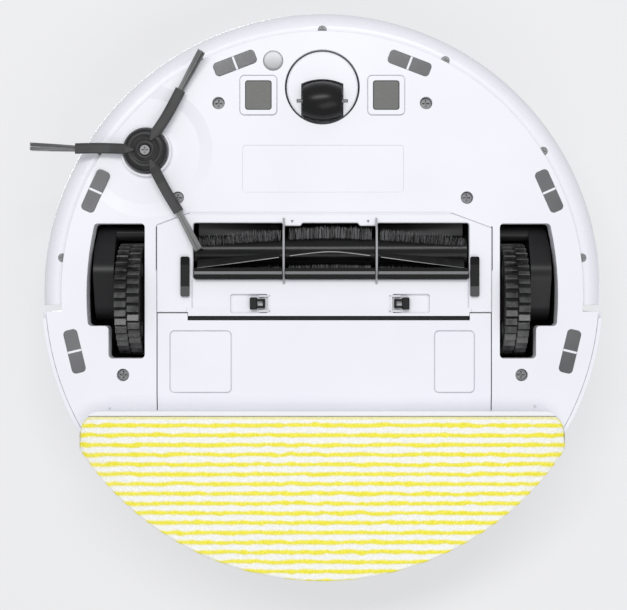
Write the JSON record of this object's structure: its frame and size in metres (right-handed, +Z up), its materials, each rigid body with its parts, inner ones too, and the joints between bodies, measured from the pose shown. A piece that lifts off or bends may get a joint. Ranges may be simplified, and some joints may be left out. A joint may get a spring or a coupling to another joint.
{
  "type": "robot vacuum",
  "caption": "Round floor-cleaning robot with drive wheels, swivel caster, side brush, guarded roller brush, rear tank and striped mop pad.",
  "frame": {"origin": "on the floor, under the vertical axis of the round body", "axes": "+Z up through the body, -Y towards the bumper, +Y towards the mop"},
  "size_m": [0.3539, 0.3518, 0.097],
  "materials": {
    "white_shell": "satin white moulding",
    "white_plate": "fine moulded white",
    "smoked_window": "smoked infrared-clear plastic",
    "dark_plastic": "fine textured black",
    "grey_plastic": "grey moulding",
    "sensor_grey": "tinted sensor window",
    "lens_grey": "frosted lens",
    "contact_metal": "brushed contact plate",
    "screw_steel": "dark zinc screw",
    "spring_steel": "drawn wire",
    "black_rubber": "matt rubber",
    "tyre_rubber": "moulded tread",
    "bristle_black": "nylon bristle",
    "battery_wrap": "shrink-wrapped pack",
    "board_green": "circuit board",
    "motor_steel": "plated motor can",
    "filter_paper": "pleated filter paper",
    "smoked_tank": "satin tank moulding",
    "mop_fleece": "striped microfibre",
    "button_grey": "satin button",
    "belt_rubber": "thin drive belt"
  },
  "bodies": {
    "chassis": {"base_plate": "white_plate", "upper_shell": "white_shell", "top_cover": "white_shell", "bumper_springs": "spring_steel", "chassis_screws": "screw_steel", "charging_contacts": "contact_metal", "cliff_sensor_frames": "white_plate", "cliff_sensor_lenses": "sensor_grey", "ir_lens": "lens_grey", "battery_pack": "battery_wrap", "main_board": "board_green", "fan_housing": "dark_plastic", "fan_motor": "motor_steel", "brush_chamber": "dark_plastic", "brush_gearbox": "dark_plastic", "brush_motor": "motor_steel", "lidar_base": "dark_plastic", "lidar_motor": "motor_steel", "lidar_belt": "belt_rubber", "lidar_cap": "white_shell", "side_brush_gearbox": "dark_plastic", "left_wheel_housing": "dark_plastic", "right_wheel_housing": "dark_plastic", "suspension_springs": "spring_steel"},
    "bumper": {"bumper": "white_shell", "bumper_window": "smoked_window", "bumper_screws": "screw_steel"},
    "power_button": {"power_button": "button_grey"},
    "home_button": {"home_button": "button_grey"},
    "fan_rotor": {"fan_impeller": "grey_plastic"},
    "main_brush": {"brush_core": "dark_plastic", "brush_bristles": "bristle_black"},
    "guard": {"brush_guard": "white_plate", "guard_ribs": "grey_plastic", "squeegee": "black_rubber", "guard_pads": "black_rubber"},
    "latch_left": {"guard_latch_left": "dark_plastic"},
    "latch_right": {"guard_latch_right": "dark_plastic"},
    "tank": {"tank_shell": "smoked_tank", "tank_lid": "white_plate", "tank_filter": "filter_paper"},
    "tank_button": {"tank_button": "button_grey"},
    "mop": {"mop_plate": "white_plate", "mop_pad": "mop_fleece"},
    "lidar_head": {"lidar_rotor": "dark_plastic"},
    "lidar_drive": {"lidar_pulley": "grey_plastic"},
    "caster": {"caster_fork": "white_plate", "caster_axle": "screw_steel"},
    "caster_roller": {"caster_wheel": "dark_plastic"},
    "side_brush": {"side_brush_hub": "dark_plastic", "side_brush_arms": "black_rubber", "side_brush_bristles": "bristle_black", "side_brush_screw": "screw_steel"},
    "left_arm": {"left_wheel_arm": "dark_plastic"},
    "right_arm": {"right_wheel_arm": "dark_plastic"},
    "left_wheel": {"left_tyre": "tyre_rubber", "left_wheel_hub": "grey_plastic"},
    "right_wheel": {"right_tyre": "tyre_rubber", "right_wheel_hub": "grey_plastic"}
  },
  "joints": [
    {"name": "bumper_press", "type": "slide", "parent": "chassis", "child": "bumper", "axis": [0, 1, 0], "range_m": [0, 0.004], "stiffness_N_per_m": 400, "springref_m": -0.002, "deforming": ["bumper_springs"]},
    {"name": "power_press", "type": "slide", "parent": "chassis", "child": "power_button", "axis": [0, 0, -1], "range_m": [0, 0.001], "stiffness_N_per_m": 600, "springref_m": -0.001},
    {"name": "home_press", "type": "slide", "parent": "chassis", "child": "home_button", "axis": [0, 0, -1], "range_m": [0, 0.001], "stiffness_N_per_m": 600, "springref_m": -0.001},
    {"name": "fan_spin", "type": "hinge", "parent": "chassis", "child": "fan_rotor", "pos_m": [0.127, 0.078, 0.05], "axis": [0, 0, 1], "continuous": true},
    {"name": "main_brush_spin", "type": "hinge", "parent": "chassis", "child": "main_brush", "pos_m": [0, -0.0255, 0.0205], "axis": [1, 0, 0], "continuous": true},
    {"name": "guard_open", "type": "hinge", "parent": "chassis", "child": "guard", "pos_m": [0, -0.0485, 0.01], "axis": [-1, 0, 0], "range_deg": [0, 60], "deforming": ["side_brush_bristles"]},
    {"name": "latch_left_slide", "type": "slide", "parent": "guard", "child": "latch_left", "axis": [-1, 0, 0], "range_m": [0, 0.0035], "stiffness_N_per_m": 300, "springref_m": -0.002},
    {"name": "latch_right_slide", "type": "slide", "parent": "guard", "child": "latch_right", "axis": [1, 0, 0], "range_m": [0, 0.0035], "stiffness_N_per_m": 300, "springref_m": -0.002},
    {"name": "tank_slide", "type": "slide", "parent": "chassis", "child": "tank", "axis": [0, 1, 0], "range_m": [0, 0.17]},
    {"name": "tank_release", "type": "slide", "parent": "tank", "child": "tank_button", "axis": [0, -1, 0], "range_m": [0, 0.0025], "stiffness_N_per_m": 400, "springref_m": -0.001},
    {"name": "mop_slide", "type": "slide", "parent": "tank", "child": "mop", "axis": [0, 1, 0], "range_m": [0, 0.11]},
    {"name": "lidar_spin", "type": "hinge", "parent": "chassis", "child": "lidar_head", "pos_m": [0, 0.03, 0.08], "axis": [0, 0, 1], "continuous": true},
    {"name": "lidar_drive_spin", "type": "hinge", "parent": "chassis", "child": "lidar_drive", "pos_m": [0, -0.022, 0.07], "axis": [0, 0, 1], "continuous": true},
    {"name": "caster_swivel", "type": "hinge", "parent": "chassis", "child": "caster", "pos_m": [0, -0.1268, 0.02], "axis": [0, 0, 1], "continuous": true},
    {"name": "caster_roll", "type": "hinge", "parent": "caster", "child": "caster_roller", "pos_m": [0, -0.1182, 0.01225], "axis": [1, 0, 0], "continuous": true},
    {"name": "side_brush_spin", "type": "hinge", "parent": "chassis", "child": "side_brush", "pos_m": [-0.1089, -0.0872, 0.01], "axis": [0, 0, 1], "continuous": true},
    {"name": "left_suspension", "type": "hinge", "parent": "chassis", "child": "left_arm", "pos_m": [-0.12, -0.037, 0.03], "axis": [-1, 0, 0], "range_deg": [0, 20]},
    {"name": "left_wheel_spin", "type": "hinge", "parent": "left_arm", "child": "left_wheel", "pos_m": [-0.12, 0.0045, 0.0355], "axis": [1, 0, 0], "continuous": true},
    {"name": "right_suspension", "type": "hinge", "parent": "chassis", "child": "right_arm", "pos_m": [0.12, -0.037, 0.03], "axis": [-1, 0, 0], "range_deg": [0, 20]},
    {"name": "right_wheel_spin", "type": "hinge", "parent": "right_arm", "child": "right_wheel", "pos_m": [0.12, 0.0045, 0.0355], "axis": [1, 0, 0], "continuous": true}
  ],
  "couplings": [
    {"joint": "lidar_drive_spin", "follows": "lidar_spin", "ratio": 5.6667}
  ]
}
